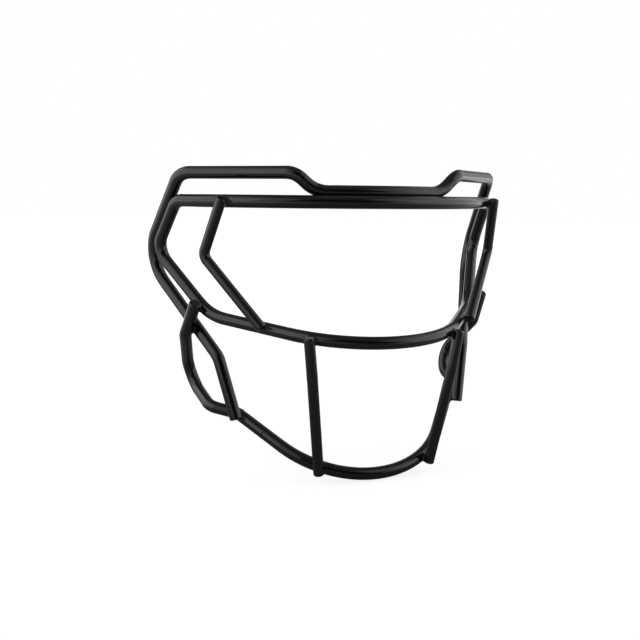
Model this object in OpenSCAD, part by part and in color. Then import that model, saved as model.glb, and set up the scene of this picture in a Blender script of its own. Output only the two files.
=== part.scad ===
// Football helmet facemask: a cage of bent round steel wire, welded where the wires cross
// and covered with a gloss powder coat. All sizes are over the coat, in millimetres.
// X runs to the wearer's left, the mask faces -Y and +Z is up. X is zero on the middle plane,
// Y in the middle of the depth and Z at the underside of the chin wire.
// Each wire is a row of corner points, each with the radius that the bender gives it there.
// Widths are from the middle plane, depths are back from the front of the eye bar.

/* [Wire and welds] */
// Wire of the brow loop, the eye loop, the chin wire and the jaw wires
loop_d = 6.9; // [6:0.1:8.5]
// Wire of the eye posts and the lower bars
upright_d = 5.9; // [5:0.1:7.5]
// Rounding of the rim where a wire is cut off
rim_r = 0.9; // [0.3:0.1:1.5]
// Extra thickness of the coated wire in its bends
bend_extra = 0.1; // [0.06:0.02:0.2]
// Space between two wires where they cross, filled by the weld
weld_gap = 0.2; // [0.16:0.02:0.4]
// Size of a weld bead, from the middle of the crossing
bead_r = 4.1; // [3.8:0.1:5]
// Size of a seam bead, where two wires lie side by side
seam_bead_r = 2.6; // [2:0.1:3]
// Length of a seam bead
seam_bead_run = 11; // [6:0.5:16]
// Space between a bead and the wires that it joins
bead_fit = 0.08; // [0.06:0.01:0.14]

/* [Eye bar] */
// Height of the eye bar's centre line
eye_height = 153.5; // [140:0.5:170]
// Radius of the eye bar around the face
eye_bar_r = 107.5; // [95:0.5:125]
// Sweep of that arc to each side, in degrees
eye_bar_sweep = 57.5; // [45:0.5:64]
// Straight run from the arc to the top corner
eye_bar_tail = 16; // [10:0.5:22]
// Bend at the top corner
eye_corner_r = 10.5; // [8:0.5:16]

/* [Sides of the eye loop] */
// Width at the rear bend
eye_rear_w = 105.5; // [95:0.5:115]
// Depth at the rear bend
eye_rear_depth = 88.2; // [80:0.1:110]
// Height of the rear bend
eye_rear_height = 125.3; // [110:0.1:135]
// Radius of the rear bend
eye_rear_r = 11; // [9:0.5:18]
// Width where the side turns into the crossbar
eye_low_w = 82.9; // [74:0.1:90]
// Depth where the side turns into the crossbar
eye_low_depth = 54.2; // [44:0.1:62]
// Height where the side turns into the crossbar
eye_low_height = 89.8; // [80:0.1:98]
// Radius of that turn
eye_low_r = 33; // [20:1:38]

/* [Crossbar] */
// Depth of the crossbar's front, in front of the eye bar when below zero
cross_depth = -9.8; // [-25:0.1:5]
// Height of the crossbar's front
cross_height = 80.2; // [70:0.1:90]
// Radius of the crossbar around the nose
cross_r = 64.5; // [55:0.5:80]

/* [Brow loop] */
// How far behind the eye bar the brow loop's middle lies
brow_set_back = 4.7; // [2:0.1:6]
// Sweep of the middle to each side, in degrees
brow_mid_sweep = 16; // [12:0.5:22]
// Straight run from the middle to the foot of the step
brow_mid_tail = 9; // [4:0.5:9]
// Bend at the foot of the step
step_foot_r = 17; // [10:0.5:22]
// Width at the head of the step
step_head_w = 47.8; // [44:0.1:56]
// Depth at the head of the step
step_head_depth = 12.8; // [10:0.1:20]
// Bend at the head of the step
step_head_r = 10; // [8:0.5:14]
// Height of the raised stretches above the eye bar
brow_rise = 15.1; // [9:0.1:22]
// Bend at the top corner
brow_corner_r = 12.5; // [9:0.5:18]
// Where the loop lies round the side of the eye loop, in degrees outward from straight behind it
brow_lie = 18; // [-10:1:40]
// Length of the side run below the eye loop's rear corner
brow_rear_past = 13.5; // [10:0.5:18]
// Bend at the rear
brow_rear_r = 21.5; // [20:0.5:26]
// Width at the lower bend
brow_low_w = 78.7; // [72:0.1:86]
// Depth at the lower bend
brow_low_depth = 52.5; // [42:0.5:60]
// Height of the lower bend
brow_low_height = 66.3; // [58:0.1:72]
// Radius of the lower bend
brow_low_r = 11; // [8:0.5:14]
// How far the ends run past the turns of the jaw wires
brow_past = -0.3; // [-1:0.1:4]

/* [Eye posts] */
// How far the head runs past the eye bar
post_head_past = 3.3; // [1:0.1:6]
// Place of the head around the eye bar, in degrees from the middle
post_head_at = 47; // [38:0.5:52]
// Width at the post's bend
post_bend_w = 89.2; // [84:0.1:98]
// Depth at the post's bend
post_bend_depth = 43.6; // [36:0.1:52]
// Height of the post's bend
post_bend_height = 124; // [115:0.1:132]
// Radius of the post's bend
post_bend_r = 5.5; // [5:0.5:12]
// Distance of the foot along the crossbar from the eye loop's turn
post_foot_at = 41.6; // [30:0.1:46]
// How far the foot stops short of the crossbar's centre line
post_foot_short = 3; // [1:0.1:3.5]

/* [Lower bars] */
// How far the head runs past the crossbar
bar_head_past = 2.4; // [1:0.1:6]
// How far the foot runs past the chin wire
bar_foot_past = 1.6; // [0.2:0.1:4]
// Place of the head around the crossbar, in degrees from the middle
bar_head_at = 38.5; // [28:0.5:46]
// Width at the bar's bend
bar_bend_w = 41.9; // [36:0.1:48]
// Depth at the bar's bend
bar_bend_depth = 0.7; // [-8:0.1:8]
// Height of the bar's bend
bar_bend_height = 62.4; // [50:0.1:70]
// Radius of the bar's bend
bar_bend_r = 60; // [30:1:90]
// Place of the foot around the chin wire, in degrees from the middle
bar_foot_at = 31; // [22:0.5:38]

/* [Jaw wires] */
// Place of the head round the eye loop's lower turn, in degrees before its middle
jaw_head_at = 12; // [6:1:18]
// How far the head runs past the eye loop
jaw_past = 4.7; // [2:0.1:9]
// Distance of the crossing up the brow loop's leg from its lower bend
jaw_cross_at = 22.9; // [16:0.1:36]
// Run from that crossing to the upper bend
jaw_drop = 3.5; // [3.5:0.5:12]
// Radius of the upper bend
jaw_top_r = 11; // [8:0.5:14]
// Width at the rear bend
jaw_rear_w = 85; // [78:0.5:94]
// Depth at the rear bend
jaw_rear_depth = 98.1; // [80:0.1:104]
// Height of the rear bend
jaw_rear_height = 47.3; // [40:0.1:56]
// Radius of the rear bend
jaw_rear_r = 12; // [8:0.5:14]
// Width at the lower bend
jaw_low_w = 81.6; // [76:0.1:90]
// Depth at the lower bend
jaw_low_depth = 60.4; // [52:0.1:66]
// Height of the lower bend
jaw_low_height = 36.4; // [28:0.1:44]
// Radius of the lower bend
jaw_low_r = 9; // [8:0.5:12]

/* [Chin wire] */
// Width at the turn into the jaw wire
chin_turn_w = 67.7; // [62:0.1:76]
// Depth at that turn
chin_turn_depth = 51.2; // [44:0.1:58]
// Height of that turn
chin_turn_height = 33.1; // [26:0.1:42]
// Radius of that turn
chin_turn_r = 8; // [7:0.5:12]
// Depth of the chin wire's front
chin_depth = 8.4; // [-6:0.1:16]
// Radius of the chin wire around the chin
chin_r = 60; // [50:0.5:72]
// Distance of the brow loop's foot from that turn
foot_at = 4; // [3:0.5:9]
// Distance of the butt joint from the turn
seam_at = 20; // [10:0.5:30]

/* [Hidden] */
// Y of the eye bar's front, so that Y zero is in the middle of the depth
front_y = -42.3;
chin_height = loop_d / 2;
loop_seat = loop_d + weld_gap;
upright_seat = (loop_d + upright_d) / 2 + weld_gap;
// How far a straight stretch runs into a bend
run_in = 0.4;
// How far inside a cut end the middle of its bead lies
weld_inset = 0.5;
wire_fn = 20;
bend_fn = 96;
cut_fn = 64;
cut_bend_fn = 400;
// Where the middle of the brow loop is welded down, as a share of its sweep to each side
mid_weld_at = 0.7;

function spot(w, depth, height) = [w, front_y + depth, height];
function unit(v) = v / norm(v);
function mirrored(p) = [-p[0], p[1], p[2]];

// Angle that a wire turns through at the corner v, coming from a and going to b
function turn(a, v, b) = acos(max(-1, min(1, unit(v - a) * unit(b - v))));
// From the corner to where its bend starts and ends
function setback(a, v, b, r) = r * tan(turn(a, v, b) / 2);
function inward(a, v, b) = unit(unit(b - v) - unit(v - a));
function bend_centre(a, v, b, r) = v + inward(a, v, b) * r / cos(turn(a, v, b) / 2);
// Point and direction of travel on a bend, t degrees past its middle
function on_bend(a, v, b, r, t = 0) = bend_centre(a, v, b, r)
    + r * (sin(t) * unit(unit(b - v) + unit(v - a)) - cos(t) * inward(a, v, b));
function run_on_bend(a, v, b, t = 0) =
    cos(t) * unit(unit(b - v) + unit(v - a)) + sin(t) * inward(a, v, b);
// Corner whose bend of radius r passes through m at its middle
function corner_through(a, m, b, r, v, n = 12) = n == 0 ? v
    : corner_through(a, m, b, r, v + m - on_bend(a, v, b, r), n - 1);

// Where a wire coming from "from" lies across another wire, which passes q in the direction
// run: the centre lines are c apart, square to both. p is a first guess on the right side.
function across(q, run, from, c, p, n = 6) = n == 0 ? p
    : let (w = unit(cross(run, from - p)))
      across(q, run, from, c, q + w * c * sign(w * (p - q)), n - 1);
// The same for one straight wire that lies across two others
function across_both(q1, run1, q2, run2, c, p1, p2, n = 8) = n == 0 ? [p1, p2]
    : across_both(q1, run1, q2, run2, c, across(q1, run1, p2, c, p1, 1),
                  across(q2, run2, p1, c, p2, 1), n - 1);

// Eye loop, left side; the top and bottom arcs meet their mirror images on the middle plane
eye_corner = spot(eye_bar_r * sin(eye_bar_sweep) + eye_bar_tail * cos(eye_bar_sweep),
                  eye_bar_r * (1 - cos(eye_bar_sweep)) + eye_bar_tail * sin(eye_bar_sweep), eye_height);
eye_apex = spot(0, eye_bar_r * (1 - 1 / cos(eye_bar_sweep)), eye_height);
eye_rear = spot(eye_rear_w, eye_rear_depth, eye_rear_height);
eye_low = spot(eye_low_w, eye_low_depth, eye_low_height);
cross_front = spot(0, cross_depth, cross_height);
cross_apex = corner_through(eye_low, cross_front, mirrored(eye_low), cross_r, cross_front - [0, cross_r / 2, 0]);
eye_path = [eye_apex, eye_corner, eye_rear, eye_low, cross_apex,
            mirrored(eye_low), mirrored(eye_rear), mirrored(eye_corner)];
eye_bends = [eye_bar_r, eye_corner_r, eye_rear_r, eye_low_r, cross_r, eye_low_r, eye_rear_r, eye_corner_r];

// Chin wire with the two turns that belong to the jaw wires
chin_turn = spot(chin_turn_w, chin_turn_depth, chin_turn_height);
chin_front = spot(0, chin_depth, chin_height);
chin_apex = corner_through(chin_turn, chin_front, mirrored(chin_turn), chin_r,
                           chin_front - [0, chin_r / 2, chin_r / 3]);
seam = chin_turn + unit(chin_apex - chin_turn) * seam_at;
seam_half = unit(chin_apex - chin_turn) * weld_gap / 2;
chin_path = [mirrored(seam + seam_half), chin_apex, seam + seam_half];
chin_bends = [0, chin_r, 0];

// Brow loop, left side
brow_arc_r = eye_bar_r - brow_set_back;
brow_mid_height = eye_height + sqrt(loop_seat * loop_seat - brow_set_back * brow_set_back);
brow_apex = spot(0, brow_set_back + brow_arc_r * (1 - 1 / cos(brow_mid_sweep)), brow_mid_height);
step_foot = spot(brow_arc_r * sin(brow_mid_sweep) + brow_mid_tail * cos(brow_mid_sweep),
                 brow_set_back + brow_arc_r * (1 - cos(brow_mid_sweep)) + brow_mid_tail * sin(brow_mid_sweep),
                 brow_mid_height);
step_head = spot(step_head_w, step_head_depth, eye_height + brow_rise);
brow_low = spot(brow_low_w, brow_low_depth, brow_low_height);
// The side run lies along the side run of the eye loop, one wire's thickness behind it
eye_side_run = unit(eye_rear - eye_corner);
eye_side_back = unit([0, 1, 0] - eye_side_run * eye_side_run[1]);
brow_aside = loop_seat * (cos(brow_lie) * eye_side_back + sin(brow_lie) * cross(eye_side_run, eye_side_back));
brow_rear = eye_rear + brow_aside + eye_side_run * brow_rear_past;
brow_corner = eye_corner + brow_aside
    + eye_side_run * (brow_rise - brow_aside[2]) / eye_side_run[2];
side_weld_q = (eye_corner + eye_rear) / 2;
jaw_low = spot(jaw_low_w, jaw_low_depth, jaw_low_height);
chin_run = unit(chin_apex - chin_turn);
brow_foot_q = chin_turn + chin_run * foot_at;
brow_foot = across(brow_foot_q, chin_run, brow_low, loop_seat, brow_foot_q - [0, loop_seat, 0]);
brow_end = brow_foot + unit(brow_foot - brow_low) * brow_past;
brow_half = [step_foot, step_head, brow_corner, brow_rear, brow_low, brow_end];
brow_half_bends = [step_foot_r, step_head_r, brow_corner_r, brow_rear_r, brow_low_r, 0];
brow_path = concat([for (i = [5 : -1 : 0]) mirrored(brow_half[i])], [brow_apex], brow_half);
brow_bends = concat([for (i = [5 : -1 : 0]) brow_half_bends[i]], [brow_arc_r], brow_half_bends);

// Jaw wire, left side: its head lies across the eye loop's side and the brow loop's leg
jaw_head_q = on_bend(eye_rear, eye_low, cross_apex, eye_low_r, -jaw_head_at);
jaw_head_run = run_on_bend(eye_rear, eye_low, cross_apex, -jaw_head_at);
leg_run = unit(brow_rear - brow_low);
jaw_cross_q = brow_low + leg_run * jaw_cross_at;
jaw_seats = across_both(jaw_head_q, jaw_head_run, jaw_cross_q, leg_run, loop_seat,
                        jaw_head_q + [loop_seat, -2, 0], jaw_cross_q + [loop_seat, -2, 0]);
jaw_run = unit(jaw_seats[1] - jaw_seats[0]);
jaw_end = jaw_seats[0] - jaw_run * jaw_past;
jaw_top = jaw_seats[1] + jaw_run * jaw_drop;
jaw_rear = spot(jaw_rear_w, jaw_rear_depth, jaw_rear_height);
jaw_path = [jaw_end, jaw_top, jaw_rear, jaw_low, chin_turn, seam - seam_half];
jaw_bends = [0, jaw_top_r, jaw_rear_r, jaw_low_r, chin_turn_r, 0];

// Eye post, left side: it lies across the eye bar and the crossbar, in front of both
post_bend = spot(post_bend_w, post_bend_depth, post_bend_height);
post_head_q = on_bend(mirrored(eye_corner), eye_apex, eye_corner, eye_bar_r, post_head_at);
post_head_run = run_on_bend(mirrored(eye_corner), eye_apex, eye_corner, post_head_at);
post_head = across(post_head_q, post_head_run, post_bend, upright_seat,
                   post_head_q + upright_seat * [sin(post_head_at), -cos(post_head_at), 0]);
cross_run = unit(cross_apex - eye_low);
post_foot_q = eye_low + cross_run * post_foot_at;
post_foot = across(post_foot_q, cross_run, post_bend, upright_seat, post_foot_q + [upright_seat, -upright_seat, 0]);
post_foot_up = unit(post_bend - post_foot);
post_path = [post_head + unit(post_head - post_bend) * post_head_past, post_bend,
             post_foot + post_foot_up * post_foot_short];
post_bends = [0, post_bend_r, 0];

// Lower bar, left side: it lies across the crossbar and the chin wire, in front of both
bar_bend = spot(bar_bend_w, bar_bend_depth, bar_bend_height);
bar_head_q = on_bend(mirrored(eye_low), cross_apex, eye_low, cross_r, bar_head_at);
bar_head_run = run_on_bend(mirrored(eye_low), cross_apex, eye_low, bar_head_at);
bar_head = across(bar_head_q, bar_head_run, bar_bend, upright_seat, bar_head_q + [2, -upright_seat, 0]);
bar_foot_q = on_bend(mirrored(chin_turn), chin_apex, chin_turn, chin_r, bar_foot_at);
bar_foot_run = run_on_bend(mirrored(chin_turn), chin_apex, chin_turn, bar_foot_at);
bar_foot = across(bar_foot_q, bar_foot_run, bar_bend, upright_seat, bar_foot_q + [2, -upright_seat, 0]);
bar_path = [bar_head + unit(bar_head - bar_bend) * bar_head_past, bar_bend,
            bar_foot + unit(bar_foot - bar_bend) * bar_foot_past];
bar_bends = [0, bar_bend_r, 0];

coat = [0.03, 0.03, 0.035];
weld_coat = [0.06, 0.06, 0.065];

// Lays the Z axis along the line from a to b
module along(a, b) {
    v = b - a;
    translate(a) rotate([0, acos(v[2] / norm(v)), atan2(v[1], v[0])]) children();
}

module straight(a, b, d, fn = wire_fn) {
    along(a, b) cylinder(h = norm(b - a), d = d, $fn = fn);
}

// Last stretch of a wire, cut square at b with a rounded rim
module cut_end(a, b, d, fn = wire_fn) {
    reach = norm(b - a);
    along(a, b) rotate_extrude($fn = fn) {
        square([d / 2, reach - rim_r]);
        square([d / 2 - rim_r, reach]);
        translate([d / 2 - rim_r, reach - rim_r]) circle(r = rim_r, $fn = 16);
    }
}

// Bend of radius r at the corner v of a wire that comes from a and goes to b
module bend(a, v, b, r, d, fn = wire_fn, ring_fn = bend_fn) {
    c = bend_centre(a, v, b, r);
    x = unit(v - unit(v - a) * setback(a, v, b, r) - c);
    y = unit(v - a);
    z = cross(x, y);
    multmatrix([[x[0], y[0], z[0], c[0]], [x[1], y[1], z[1], c[1]], [x[2], y[2], z[2], c[2]]])
        rotate_extrude(angle = turn(a, v, b), $fn = ring_fn)
            translate([r, 0]) circle(d = d + bend_extra, $fn = fn);
}

// Open wire; a butt end is left square, a free end has a rounded rim
module wire(path, bends, d, first_free = true, last_free = true) {
    last = len(path) - 1;
    back = [for (i = [0 : last]) bends[i] == 0 ? 0 : setback(path[i - 1], path[i], path[i + 1], bends[i])];
    for (i = [0 : last - 1]) {
        run = unit(path[i + 1] - path[i]);
        a = path[i] + run * (i == 0 ? 0 : back[i] - run_in);
        b = path[i + 1] - run * (i == last - 1 ? 0 : back[i + 1] - run_in);
        if (i == 0 && first_free) cut_end(b, a, d);
        else if (i == last - 1 && last_free) cut_end(a, b, d);
        else straight(a, b, d);
    }
    for (i = [1 : last - 1]) bend(path[i - 1], path[i], path[i + 1], bends[i], d);
}

module closed_wire(path, bends, d) {
    n = len(path);
    back = [for (i = [0 : n - 1]) setback(path[(i + n - 1) % n], path[i], path[(i + 1) % n], bends[i])];
    for (i = [0 : n - 1]) {
        j = (i + 1) % n;
        run = unit(path[j] - path[i]);
        straight(path[i] + run * (back[i] - run_in), path[j] - run * (back[j] - run_in), d);
        bend(path[(i + n - 1) % n], path[i], path[j], bends[i], d);
    }
}

// Cutters for the beads: a stretch of wire round the point q that may end some way ahead of it,
// and a bend with the starts of its two straight runs
module near_run(q, run, d, ahead = 2 * bead_r) {
    straight(q - run * 2 * bead_r, q + run * ahead, d + 2 * bead_fit, cut_fn);
}

module near_bend(a, v, b, r, d) {
    bend(a, v, b, r, d + 2 * bead_fit, cut_fn, cut_bend_fn);
    for (far = [a, b])
        straight(v + unit(far - v) * (setback(a, v, b, r) - run_in),
                 v + unit(far - v) * (setback(a, v, b, r) + 2 * bead_r), d + 2 * bead_fit, cut_fn);
}

// Bead between the points q and p of two crossing wires, less the wires given as children
module bead(q, p, axis) {
    middle = (p + q) / 2;
    difference() {
        along(middle, middle + axis) sphere(r = bead_r, $fn = cut_fn);
        children();
    }
}

// Bead in the seam of two wires that lie side by side in the direction run, less those wires
module seam_bead(q, p, run) {
    middle = (q + p) / 2;
    difference() {
        for (end = [-1, 1]) cut_end(middle, middle + run * end * seam_bead_run / 2, 2 * seam_bead_r, cut_fn);
        children();
    }
}

module sided(side) {
    mirror([side < 0 ? 1 : 0, 0, 0]) children();
}

module brow_loop() {
    color(coat) wire(brow_path, brow_bends, loop_d);
}

module eye_loop() {
    color(coat) closed_wire(eye_path, eye_bends, loop_d);
}

module chin_wire() {
    color(coat) wire(chin_path, chin_bends, loop_d, false, false);
}

module jaw_wire(side) {
    color(coat) sided(side) wire(jaw_path, jaw_bends, loop_d, true, false);
}

module eye_post(side) {
    color(coat) sided(side) wire(post_path, post_bends, upright_d);
}

module lower_bar(side) {
    color(coat) sided(side) wire(bar_path, bar_bends, upright_d);
}

module arc_cut(a, v, b, r) {
    bend(a, v, b, r, loop_d + 2 * bead_fit, cut_fn, cut_bend_fn);
}

module brow_mid_weld(side) {
    at = brow_mid_sweep * mid_weld_at;
    q = on_bend(mirrored(eye_corner), eye_apex, eye_corner, eye_bar_r, at);
    p = on_bend(mirrored(step_foot), brow_apex, step_foot, brow_arc_r, at);
    color(weld_coat) sided(side) seam_bead(q, p, run_on_bend(mirrored(eye_corner), eye_apex, eye_corner, at)) {
        arc_cut(mirrored(eye_corner), eye_apex, eye_corner, eye_bar_r);
        arc_cut(mirrored(step_foot), brow_apex, step_foot, brow_arc_r);
    }
}

module brow_side_weld(side) {
    color(weld_coat) sided(side) seam_bead(side_weld_q, side_weld_q + brow_aside, eye_side_run) {
        near_run(side_weld_q, eye_side_run, loop_d);
        near_run(side_weld_q + brow_aside, eye_side_run, loop_d);
    }
}

module post_head_weld(side) {
    color(weld_coat) sided(side) bead(post_head_q, post_head, post_head - post_head_q) {
        arc_cut(mirrored(eye_corner), eye_apex, eye_corner, eye_bar_r);
        near_run(post_head, unit(post_head - post_bend), upright_d);
    }
}

module post_foot_weld(side) {
    up = post_foot_short + weld_inset;
    q = post_foot_q + cross_run * (cross_run * post_foot_up) * up;
    p = post_foot + post_foot_up * up;
    color(weld_coat) sided(side) bead(q, p, cross_run) {
        near_run(q, cross_run, loop_d);
        near_run(p, -post_foot_up, upright_d, weld_inset + bead_fit);
    }
}

module bar_head_weld(side) {
    color(weld_coat) sided(side) bead(bar_head_q, bar_head, bar_head_run) {
        arc_cut(mirrored(eye_low), cross_apex, eye_low, cross_r);
        near_run(bar_head, unit(bar_head - bar_bend), upright_d);
    }
}

module bar_foot_weld(side) {
    color(weld_coat) sided(side) bead(bar_foot_q, bar_foot, bar_foot - bar_foot_q) {
        arc_cut(mirrored(chin_turn), chin_apex, chin_turn, chin_r);
        near_run(bar_foot, unit(bar_foot - bar_bend), upright_d, bar_foot_past + bead_fit);
    }
}

module jaw_head_weld(side) {
    color(weld_coat) sided(side) bead(jaw_head_q, jaw_seats[0], jaw_seats[0] - jaw_head_q) {
        near_bend(eye_rear, eye_low, cross_apex, eye_low_r, loop_d);
        near_run(jaw_seats[0], jaw_run, loop_d);
    }
}

module jaw_cross_weld(side) {
    color(weld_coat) sided(side) bead(jaw_cross_q, jaw_seats[1], jaw_seats[1] - jaw_cross_q) {
        near_run(jaw_cross_q, leg_run, loop_d);
        near_bend(jaw_end, jaw_top, jaw_rear, jaw_top_r, loop_d);
    }
}

module brow_foot_weld(side) {
    color(weld_coat) sided(side) bead(brow_foot_q, brow_foot, brow_foot - brow_foot_q) {
        near_bend(jaw_low, chin_turn, chin_apex, chin_turn_r, loop_d);
        near_run(brow_foot, unit(brow_foot - brow_low), loop_d, brow_past + bead_fit);
    }
}

brow_loop();
eye_loop();
chin_wire();
jaw_wire(1);  // left_jaw_wire
jaw_wire(-1);  // right_jaw_wire
eye_post(1);  // left_eye_post
eye_post(-1);  // right_eye_post
lower_bar(1);  // left_lower_bar
lower_bar(-1);  // right_lower_bar
brow_mid_weld(1);  // left_brow_mid_weld
brow_mid_weld(-1);  // right_brow_mid_weld
brow_side_weld(1);  // left_brow_side_weld
brow_side_weld(-1);  // right_brow_side_weld
post_head_weld(1);  // left_post_head_weld
post_head_weld(-1);  // right_post_head_weld
post_foot_weld(1);  // left_post_foot_weld
post_foot_weld(-1);  // right_post_foot_weld
bar_head_weld(1);  // left_bar_head_weld
bar_head_weld(-1);  // right_bar_head_weld
bar_foot_weld(1);  // left_bar_foot_weld
bar_foot_weld(-1);  // right_bar_foot_weld
jaw_head_weld(1);  // left_jaw_head_weld
jaw_head_weld(-1);  // right_jaw_head_weld
jaw_cross_weld(1);  // left_jaw_cross_weld
jaw_cross_weld(-1);  // right_jaw_cross_weld
brow_foot_weld(1);  // left_brow_foot_weld
brow_foot_weld(-1);  // right_brow_foot_weld
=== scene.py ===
import math

import bmesh
import bpy
from mathutils import Matrix, Vector, noise
from mathutils.bvhtree import BVHTree


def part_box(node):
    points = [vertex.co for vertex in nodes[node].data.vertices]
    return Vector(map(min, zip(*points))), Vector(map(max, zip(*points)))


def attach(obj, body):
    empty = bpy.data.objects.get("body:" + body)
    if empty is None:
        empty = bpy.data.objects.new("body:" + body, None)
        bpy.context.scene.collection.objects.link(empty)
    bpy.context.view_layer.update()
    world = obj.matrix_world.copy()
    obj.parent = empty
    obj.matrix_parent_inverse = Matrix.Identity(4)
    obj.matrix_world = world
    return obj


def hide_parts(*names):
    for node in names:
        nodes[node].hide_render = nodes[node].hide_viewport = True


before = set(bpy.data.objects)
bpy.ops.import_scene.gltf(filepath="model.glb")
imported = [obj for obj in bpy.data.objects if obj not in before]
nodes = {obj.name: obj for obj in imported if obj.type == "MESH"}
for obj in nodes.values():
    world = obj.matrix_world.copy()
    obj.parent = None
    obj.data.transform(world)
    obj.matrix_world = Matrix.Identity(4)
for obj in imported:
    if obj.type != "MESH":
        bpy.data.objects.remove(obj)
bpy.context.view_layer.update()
mm = 0.001
print("frame loaded:", len(nodes), "nodes")


def hexColour(code):
    # sRGB hex to the linear colour of a shader socket
    parts = [int(code[i:i + 2], 16) / 255 for i in (1, 3, 5)]
    return [c / 12.92 if c <= 0.04045 else ((c + 0.055) / 1.055) ** 2.4 for c in parts] + [1]


def addNode(tree, kind, inputs=None, **settings):
    # one shader node: settings are its own properties, inputs are values or sockets to link, by name or
    # number. Inputs 0 to 4 of a MapRange are the value, the range it comes from and the range it goes to
    node = tree.nodes.new("ShaderNode" + kind)
    for name, value in settings.items():
        setattr(node, name, value)
    for name, value in (inputs or {}).items():
        if isinstance(value, bpy.types.NodeSocket):
            tree.links.new(value, node.inputs[name])
        else:
            node.inputs[name].default_value = value
    return node


def newMaterial(name):
    material = bpy.data.materials.new(name)
    material.use_nodes = True
    material.node_tree.nodes.clear()
    return material, material.node_tree


def finishMesh(bm, name):
    mesh = bpy.data.meshes.new(name)
    bm.to_mesh(mesh)
    bm.free()
    return mesh


# Camera: a 50 mm lens about half a metre away, level with the eye bar, on the wearer's right. Its place
# was fitted together with the wires
cameraSetup = dict(
    place=(-0.20555, -0.46540, 0.15663),
    aim=(-0.03615, -0.03733, 0.09185),
    roll=0.58,                 # degrees
    lens=49.62,
    sensor=36,
    clipStart=0.01,            # metres
)
camera = bpy.data.objects.new("camera", bpy.data.cameras.new("camera"))
bpy.context.scene.collection.objects.link(camera)
camera.data.lens = cameraSetup["lens"]
camera.data.sensor_width = cameraSetup["sensor"]
look = Vector(cameraSetup["aim"]) - Vector(cameraSetup["place"])
camera.rotation_mode = "QUATERNION"
camera.rotation_quaternion = look.to_track_quat("-Z", "Y") @ Matrix.Rotation(
    math.radians(cameraSetup["roll"]), 3, "Z").to_quaternion()
camera.location = cameraSetup["place"]
camera.data.clip_start = cameraSetup["clipStart"]
bpy.context.scene.camera = camera
print("camera set")

# Gloss black polyester powder on bent steel rod: sprayed dry and baked, it flows to an even, deep gloss
# with a faint orange peel
coat = dict(
    colour="#070708",
    roughness=(0.13, 0.19),    # a soft gloss, in slow clouds
    cloudSize=14 * mm,         # how wide the clouds are
    cloudRange=(0.35, 0.65),   # the part of the noise that makes them
    peelSize=1.8 * mm,         # orange peel, drawn a little coarse so that it shows
    peelDepth=0.008 * mm,
    gritSpacing=4 * mm,        # single grains that stood up in the oven
    gritWidth=0.5 * mm,
    gritDepth=0.02 * mm,
    ior=1.5,
    crease=40,                 # degrees: bends look smooth, and cut ends stay crisp under the coat
)
# The same powder over a weld: it lies thinner there, so the frozen ripples show through it
weldCoat = dict(
    colour="#060607",
    roughness=(0.18, 0.3),
    rippleSize=1.1 * mm,
    rippleDepth=0.03 * mm,
    ior=1.5,
)
# Painted shade for the crack of a butt joint: the powder drawn dull and nearly black, as no light gets in
crackShadeCoat = dict(
    colour="#040404",
    roughness=(0.4, 0.6),
    ior=1.12,                  # a low IOR takes the gloss away, as painted shade
)


def coatMaterial(name, setup):
    # clouds, peel and grit are the powder's own, and ripples are what lies under it
    material, tree = newMaterial(name)
    place = addNode(tree, "TexCoord").outputs["Object"]
    cloud = addNode(tree, "TexNoise", {"Vector": place, "Scale": 1 / coat["cloudSize"], "Detail": 3})
    rough = addNode(tree, "MapRange", {
        0: cloud.outputs["Fac"], 1: coat["cloudRange"][0], 2: coat["cloudRange"][1],
        3: setup["roughness"][0], 4: setup["roughness"][1]})
    peel = addNode(tree, "TexNoise", {"Vector": place, "Scale": 1 / coat["peelSize"], "Detail": 1})
    bump = addNode(tree, "Bump", {
        "Height": peel.outputs["Fac"], "Strength": 1.0, "Distance": coat["peelDepth"]})
    grit = addNode(tree, "TexVoronoi", {"Vector": place, "Scale": 1 / coat["gritSpacing"]})
    grain = addNode(tree, "MapRange", {
        0: grit.outputs["Distance"], 1: 0.0, 2: coat["gritWidth"] / coat["gritSpacing"], 3: 1.0, 4: 0.0})
    bump = addNode(tree, "Bump", {
        "Height": grain.outputs[0], "Strength": 1.0, "Distance": coat["gritDepth"],
        "Normal": bump.outputs[0]})
    if "rippleSize" in setup:
        ripple = addNode(tree, "TexNoise", {"Vector": place, "Scale": 1 / setup["rippleSize"], "Detail": 2})
        bump = addNode(tree, "Bump", {
            "Height": ripple.outputs["Fac"], "Strength": 1.0, "Distance": setup["rippleDepth"],
            "Normal": bump.outputs[0]})
    shader = addNode(tree, "BsdfPrincipled", {
        "Base Color": hexColour(setup["colour"]), "Roughness": rough.outputs[0],
        "IOR": setup["ior"], "Normal": bump.outputs[0]})
    addNode(tree, "OutputMaterial", {"Surface": shader.outputs[0]})
    return material


wireMaterial = coatMaterial("gloss black powder coat on steel", coat)
weldMaterial = coatMaterial("gloss black powder coat on a weld", weldCoat)
# the coat of the butt joints' rings is painted shade
crackShadeMaterial = coatMaterial("dull black powder as painted shade in a joint crack", crackShadeCoat)
for name, node in nodes.items():
    node.data.materials.clear()
    node.data.materials.append(weldMaterial if name.endswith("weld") else wireMaterial)
    node.data.shade_smooth()
    node.data.set_sharp_from_angle(angle=math.radians(coat["crease"]))
print("coats on")

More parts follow.
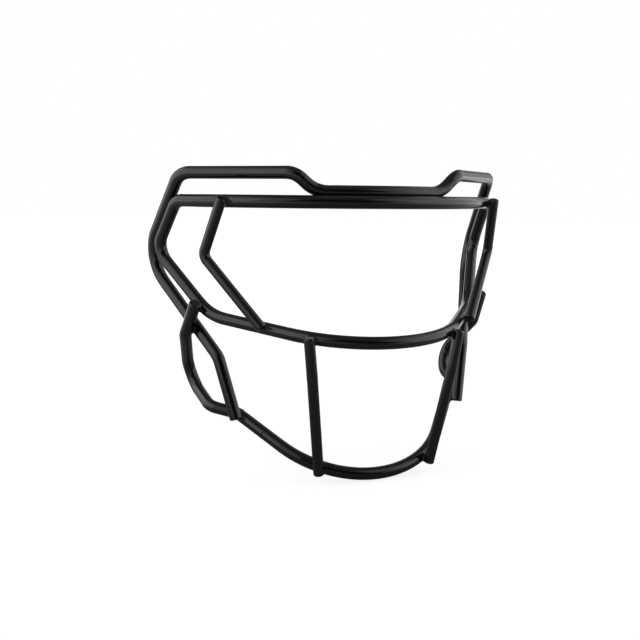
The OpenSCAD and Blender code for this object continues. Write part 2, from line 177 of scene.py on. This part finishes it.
# Welds: steel that ran into the corner between two wires, with a toe that dives under their surface.
# Each is the skin of the two wires blended together, found along rays from the middle of the crossing
fillet = dict(
    blend=2.0 * mm,            # how far the steel creeps up from the corner
    uneven=0.55 * mm,          # and how unevenly
    lump=2.2 * mm,             # size of that unevenness
    lumpAt=0.6,                # where on a ray it is read, as a share of the reach
    reach=6.4 * mm,            # where the blend has died out
    fadeFrom=0.5,              # where it begins to die, as a share of the reach
    toe=0.07 * mm,             # depth of the toe under the wires' surface
    core=0.02 * mm,            # the least that is left of a section where the wires part
    detail=5,                  # subdivisions of a crossing's weld
    quickDetail=4,
    seamReach=5.5 * mm,        # half the length of a seam weld
    seamWide=2.6 * mm,         # where its section is cut off, inside the wires
    seamBlend=0.7 * mm,        # slim, so that it stays in the gap between the brow loop and the eye bar
    seamUneven=0.4,            # share of the unevenness that a seam has
    stations=45,               # sections along a seam weld
    around=72,                 # points round each section
)
# How the skins are searched
search = dict(
    middleSteps=12,            # steps to the middle between two wires
    raySteps=40,               # steps along a ray at most
    stride=0.8,                # each step's share of the distance to the skin
    leastStep=0.01 * mm,
    close=0.005 * mm,          # near enough to the skin
    leastBlend=0.05 * mm,      # a smaller blend counts as none
    runTurn=2,                 # degrees between the tries for a seam's direction
    runReach=4 * mm,           # how far along the seam they are measured
)
crossings = dict(
    post_head=("eye_loop", "left_eye_post"),
    post_foot=("eye_loop", "left_eye_post"),
    bar_head=("eye_loop", "left_lower_bar"),
    bar_foot=("chin_wire", "left_lower_bar"),
    jaw_head=("eye_loop", "left_jaw_wire"),
    jaw_cross=("brow_loop", "left_jaw_wire"),
    brow_foot=("left_jaw_wire", "brow_loop"),
)
seams = dict(brow_mid=("eye_loop", "brow_loop"), brow_side=("eye_loop", "brow_loop"))
knownSkins = {}


def wireSkin(name):
    if name not in knownSkins:
        bm = bmesh.new()
        bm.from_mesh(nodes[name].data)
        knownSkins[name] = BVHTree.FromBMesh(bm)
        bm.free()
    return knownSkins[name]


def depthOutside(skin, point):
    # distance to a wire's surface, negative inside the wire
    near, normal, _, far = skin.find_nearest(point)
    return far if (point - near).dot(normal) > 0 else -far


def middleBetween(skins, start):
    middle = start.copy()
    for _ in range(search["middleSteps"]):
        middle = (skins[0].find_nearest(middle)[0] + skins[1].find_nearest(middle)[0]) / 2
    return middle


def weldStart(skins, name):
    low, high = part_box("left_" + name + "_weld")
    return middleBetween(skins, (Vector(low) + Vector(high)) / 2)


def skinAlong(skins, middle, way, reach, blend, toe, fades):
    # walks in along a ray until it meets the skin of the two wires blended together
    out = reach
    for _ in range(search["raySteps"]):
        point = middle + way * out
        faded = (out / reach - fillet["fadeFrom"]) / (1 - fillet["fadeFrom"])
        fade = min(max(faded, 0), 1) if fades else 0
        soft = blend * (1 - fade * fade)
        a, b = (depthOutside(skin, point) for skin in skins)
        gap = min(a, b) + toe * (fade if fades else 1)
        if soft > search["leastBlend"]:
            gap -= max(soft - abs(a - b), 0) ** 2 / soft / 4  # the smooth minimum of the two
        if gap < search["close"]:
            break
        out -= max(gap * search["stride"], search["leastStep"])
        if out <= fillet["core"]:
            return fillet["core"]
    return out


def crossingWeld(name, pair):
    skins = [wireSkin(wire) for wire in pair]
    middle = weldStart(skins, name)
    bm = bmesh.new()
    detail = fillet["detail"]
    bmesh.ops.create_icosphere(bm, subdivisions=detail, radius=1)
    for vert in bm.verts:
        way = vert.co.normalized()
        uneven = noise.noise((middle + way * fillet["reach"] * fillet["lumpAt"]) / fillet["lump"])
        blend = fillet["blend"] + fillet["uneven"] * uneven
        vert.co = middle + way * skinAlong(skins, middle, way, fillet["reach"], blend, fillet["toe"], True)
    return finishMesh(bm, name)


def acrossGap(skins, middle):
    # the direction from one wire to the other
    return (skins[1].find_nearest(middle)[0] - skins[0].find_nearest(middle)[0]).normalized()


def seamRun(skins, middle):
    # the direction, square to the gap, in which both wires stay close
    gap = acrossGap(skins, middle)
    square = gap.orthogonal().normalized()
    turns = range(0, 180, search["runTurn"])
    ways = [Matrix.Rotation(math.radians(turn), 3, gap) @ square for turn in turns]
    return min(ways, key=lambda way: sum(abs(depthOutside(skin, middle + way * end * search["runReach"]))
                                         for skin in skins for end in (-1, 1)))


def seamWeld(name, pair):
    skins = [wireSkin(wire) for wire in pair]
    start = weldStart(skins, name)
    run = seamRun(skins, start)
    bm = bmesh.new()
    rings = []
    for i in range(fillet["stations"]):
        share = 2 * i / (fillet["stations"] - 1) - 1
        middle = middleBetween(skins, start + run * share * fillet["seamReach"])
        gap = acrossGap(skins, middle)
        across = run.cross(gap).normalized()
        uneven = fillet["seamUneven"] * fillet["uneven"] * noise.noise(middle / fillet["lump"])
        blend = (fillet["seamBlend"] + uneven) * (1 - share * share)
        ring = []
        for j in range(fillet["around"]):
            turn = 2 * math.pi * j / fillet["around"]
            way = gap * math.cos(turn) + across * math.sin(turn)
            toe = fillet["toe"] * abs(share)
            out = skinAlong(skins, middle, way, fillet["seamWide"], blend, toe, False)
            ring.append(bm.verts.new(middle + way * out))
        rings.append(ring)
    for a, b in zip(rings, rings[1:]):
        for j in range(fillet["around"]):
            bm.faces.new((a[j], a[j - 1], b[j - 1], b[j]))
    for ring in (rings[0], rings[-1]):
        bm.faces.new(ring)
    bmesh.ops.recalc_face_normals(bm, faces=bm.faces)
    return finishMesh(bm, name)


def mirroredMesh(mesh, name):
    bm = bmesh.new()
    bm.from_mesh(mesh)
    for vert in bm.verts:
        vert.co.x = -vert.co.x
    bmesh.ops.reverse_faces(bm, faces=bm.faces)
    return finishMesh(bm, name)


def newPiece(name, mesh, material):
    piece = bpy.data.objects.new(name, mesh)
    bpy.context.scene.collection.objects.link(piece)
    mesh.materials.append(material)
    mesh.shade_smooth()
    return piece


def bothSides(mesh, name):
    return [("left", mesh), ("right", mirroredMesh(mesh, name + "_mirrored"))]


def placeWelds(name, mesh):
    for side, shape in bothSides(mesh, name):
        welded = side + "_" + name + "_weld"
        piece = newPiece(welded + "_fillet", shape, weldMaterial)
        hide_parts(welded)
        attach(piece, "root")


for name, pair in crossings.items():
    placeWelds(name, crossingWeld(name, pair))
for name, pair in seams.items():
    placeWelds(name, seamWeld(name, pair))
print("welds laid")

# Butt joints: the jaw wires are fused end to end with the chin wire. Each shows as a fine dark line in
# front and outside, which is a thin ring that stands a hair over the wires in a dull black coat: painted
# shade of the joint's crack
buttLip = dict(
    proud=0.1 * mm,            # how far the ring stands up
    wide=0.8 * mm,             # its width along the wire
    buried=0.15 * mm,          # its edges, under the wires' surface
    crown=0.6,                 # where it doesn't stand up, its middle lies higher by this share of that depth
    root=3,                    # its inner edge lies this many times as deep as the others
    uneven=0.35,               # share of the height that comes and goes
    faces=(0.4, -0.85, -0.2),  # the side where it stands up, in front and outside
    fadeWide=0.8,              # how slowly the height fades round the wire
    fadeMiddle=0.4,            # the height a quarter turn from that side, before it is rounded off
    touch=0.3 * mm,            # ends closer than this face each other
    across=12,
    around=96,
)


def buttRing():
    skin = wireSkin("left_jaw_wire")
    touching = [vert.co for vert in nodes["chin_wire"].data.vertices
                if skin.find_nearest(vert.co)[3] < buttLip["touch"]]
    middle = sum(touching, Vector()) / len(touching)
    run = wireSkin("chin_wire").find_nearest(middle)[1].normalized()
    radius = max((point - middle).length for point in touching)
    facing = Vector(buttLip["faces"])
    facing = (facing - run * facing.dot(run)).normalized()
    sideways = run.cross(facing)
    bm = bmesh.new()
    rings = []
    for i in range(buttLip["around"]):
        turn = 2 * math.pi * i / buttLip["around"]
        way = facing * math.cos(turn) + sideways * math.sin(turn)
        standing = min(max(math.cos(turn) / buttLip["fadeWide"] + buttLip["fadeMiddle"], 0), 1)
        worn = buttLip["uneven"] * (0.5 + 0.5 * noise.noise((middle + way * radius) / fillet["lump"]))
        proud = buttLip["proud"] * standing * standing * (3 - 2 * standing) * (1 - worn)
        rise = buttLip["crown"] * buttLip["buried"] + proud
        ring = []
        for k in range(buttLip["across"] + 1):
            share = 2 * k / buttLip["across"] - 1
            out = radius - buttLip["buried"] + rise * (1 - share * share)
            ring.append(bm.verts.new(middle + run * share * buttLip["wide"] / 2 + way * out))
        ring.append(bm.verts.new(middle + way * (radius - buttLip["root"] * buttLip["buried"])))
        rings.append(ring)
    for i, ring in enumerate(rings):
        for k in range(len(ring)):
            bm.faces.new((rings[i - 1][k], ring[k], ring[k - 1], rings[i - 1][k - 1]))
    bmesh.ops.recalc_face_normals(bm, faces=bm.faces)
    return finishMesh(bm, "butt_lip")


# each ring carries the painted shade of a joint's crack
for side, shape in bothSides(buttRing(), "butt_lip"):
    piece = newPiece(side + "_butt_lip", shape, crackShadeMaterial)
    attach(piece, "root")
print("butt joints drawn")

# Studio: white paper below, white behind, and at each side of a dim room a softbox with a brighter middle
studio = dict(
    # left and right as the camera sees them. Heading is in degrees from straight ahead of the mask towards
    # the wearer's left, height in degrees above level, size and distance away in metres
    softboxes=[
        dict(name="leftSoftbox", heading=-95, height=26, size=(2.97, 1.7), away=1.12, radiance=0.75),
        dict(name="leftSoftboxMiddle", heading=-100, height=22, size=(1.72, 1.0), away=1.1, radiance=0.95),
        dict(name="rightSoftbox", heading=76, height=24.5, size=(2.45, 1.65), away=1.12, radiance=0.65),
        dict(name="rightSoftboxMiddle", heading=76, height=18.5, size=(1.5, 0.98), away=1.1, radiance=0.8),
    ],
    aim=(0, 0, 0.09),          # what they face, the middle of the mask
    fill=0.5,                  # soft fill light from all round
    # What the coat reflects. An edge is where a light begins and where it is full, as the cosine of the
    # angle to its middle
    room=0.025,                # the unlit room in front of the mask
    ceiling=0.25,              # overhead
    ceilingEdge=(0.45, 0.95),
    behind=0.12,               # round the backdrop
    behindEdge=(0.1, 0.7),
    backdrop=1.0,
    backdropEdge=(0.85, 0.97),
    backdropMiddle=(0.34, 0.94, 0.0),
    # The paper underfoot. Distances are in metres
    paper="#808080",
    paperWhite=(0.82, 1.05),   # what lifts the paper to white under the mask, and far from it
    paperBlend=(0.25, 0.9),    # distances from the mask for the two
    paperBehind=(0.4, 1.2),    # where the coat begins to see it white behind the mask, and sees it full
    paperBeside=(0.02, 0.85),  # and beside the mask
    paperRadius=6.0,
)


def studioLight(tree, white, dim):
    # white for the camera. Diffuse rays get the first dim light, and gloss and glass the second
    path = addNode(tree, "LightPath")
    mirrored = addNode(tree, "Math", {
        0: path.outputs["Is Glossy Ray"], 1: path.outputs["Is Transmission Ray"]}, operation="MAXIMUM")
    lifted = addNode(tree, "Mix", {0: mirrored.outputs[0], 2: dim[0], 3: dim[1]})
    shown = addNode(tree, "Mix", {0: path.outputs["Is Camera Ray"], 2: lifted.outputs[0], 3: white})
    return shown.outputs[0]


world = bpy.data.worlds.new("studio")
bpy.context.scene.world = world
world.use_nodes = True
tree = world.node_tree
tree.nodes.clear()
direction = addNode(tree, "TexCoord").outputs["Generated"]
toBackdrop = addNode(tree, "VectorMath", {
    0: direction, 1: studio["backdropMiddle"]}, operation="DOT_PRODUCT")
backdrop = addNode(tree, "MapRange", {
    0: toBackdrop.outputs["Value"], 1: studio["backdropEdge"][0], 2: studio["backdropEdge"][1],
    3: studio["room"], 4: studio["backdrop"]}, interpolation_type="SMOOTHSTEP")
behind = addNode(tree, "MapRange", {
    0: toBackdrop.outputs["Value"], 1: studio["behindEdge"][0], 2: studio["behindEdge"][1],
    3: studio["room"], 4: studio["behind"]}, interpolation_type="SMOOTHSTEP")
upward = addNode(tree, "SeparateXYZ", {0: direction}).outputs["Z"]
ceiling = addNode(tree, "MapRange", {
    0: upward, 1: studio["ceilingEdge"][0], 2: studio["ceilingEdge"][1],
    3: studio["room"], 4: studio["ceiling"]}, interpolation_type="SMOOTHSTEP")
dimRoom = addNode(tree, "Math", {0: behind.outputs[0], 1: ceiling.outputs[0]}, operation="MAXIMUM")
wholeRoom = addNode(tree, "Math", {0: dimRoom.outputs[0], 1: backdrop.outputs[0]}, operation="MAXIMUM")
strength = studioLight(tree, 1.0, (studio["fill"], wholeRoom.outputs[0]))
sky = addNode(tree, "Background", {"Color": (1, 1, 1, 1), "Strength": strength})
addNode(tree, "OutputWorld", {"Surface": sky.outputs[0]})

# Matt paper, laid flat under the mask. A glow lifts it to white for the camera, so that it keeps only the
# mask's soft shadow
paperMaterial, tree = newMaterial("white paper sweep")
place = addNode(tree, "TexCoord").outputs["Object"]
axes = addNode(tree, "SeparateXYZ", {0: place})
away = addNode(tree, "VectorMath", {0: place}, operation="LENGTH")
lift = addNode(tree, "MapRange", {
    0: away.outputs["Value"], 1: studio["paperBlend"][0], 2: studio["paperBlend"][1],
    3: studio["paperWhite"][0], 4: studio["paperWhite"][1]}, interpolation_type="SMOOTHSTEP")
whiteBehind = addNode(tree, "MapRange", {
    0: axes.outputs["Y"], 1: studio["paperBehind"][0], 2: studio["paperBehind"][1],
    3: 0.0, 4: studio["paperWhite"][1]}, interpolation_type="SMOOTHSTEP")
sideways = addNode(tree, "Math", {0: axes.outputs["X"]}, operation="ABSOLUTE")
whiteBeside = addNode(tree, "MapRange", {
    0: sideways.outputs[0], 1: studio["paperBeside"][0], 2: studio["paperBeside"][1],
    3: 0.0, 4: studio["paperWhite"][1]}, interpolation_type="SMOOTHSTEP")
reflected = addNode(tree, "Math", {
    0: whiteBehind.outputs[0], 1: whiteBeside.outputs[0]}, operation="MAXIMUM")
strength = studioLight(tree, lift.outputs[0], (0.0, reflected.outputs[0]))
glow = addNode(tree, "Emission", {"Color": (1, 1, 1, 1), "Strength": strength})
paper = addNode(tree, "BsdfDiffuse", {"Color": hexColour(studio["paper"])})
both = addNode(tree, "AddShader", {0: paper.outputs[0], 1: glow.outputs[0]})
addNode(tree, "OutputMaterial", {"Surface": both.outputs[0]})
bm = bmesh.new()
bmesh.ops.create_circle(bm, cap_ends=True, segments=96, radius=studio["paperRadius"])
floor = bpy.data.objects.new("floor", finishMesh(bm, "floor"))
floor.data.materials.append(paperMaterial)
bpy.context.scene.collection.objects.link(floor)

for setup in studio["softboxes"]:
    lamp = bpy.data.lights.new(setup["name"], "AREA")
    lamp.shape = "RECTANGLE"
    lamp.size, lamp.size_y = setup["size"]
    lamp.energy = setup["radiance"] * math.pi * lamp.size * lamp.size_y
    turn, tilt = math.radians(setup["heading"]), math.radians(setup["height"])
    way = Vector((math.sin(turn) * math.cos(tilt), -math.cos(turn) * math.cos(tilt), math.sin(tilt)))
    softbox = bpy.data.objects.new(setup["name"], lamp)
    softbox.location = Vector(studio["aim"]) + way * setup["away"]
    softbox.rotation_mode = "QUATERNION"
    softbox.rotation_quaternion = (-way).to_track_quat("-Z", "Y")
    softbox.visible_camera = False
    bpy.context.scene.collection.objects.link(softbox)
bpy.context.scene.view_settings.view_transform = "Standard"
print("studio lit")
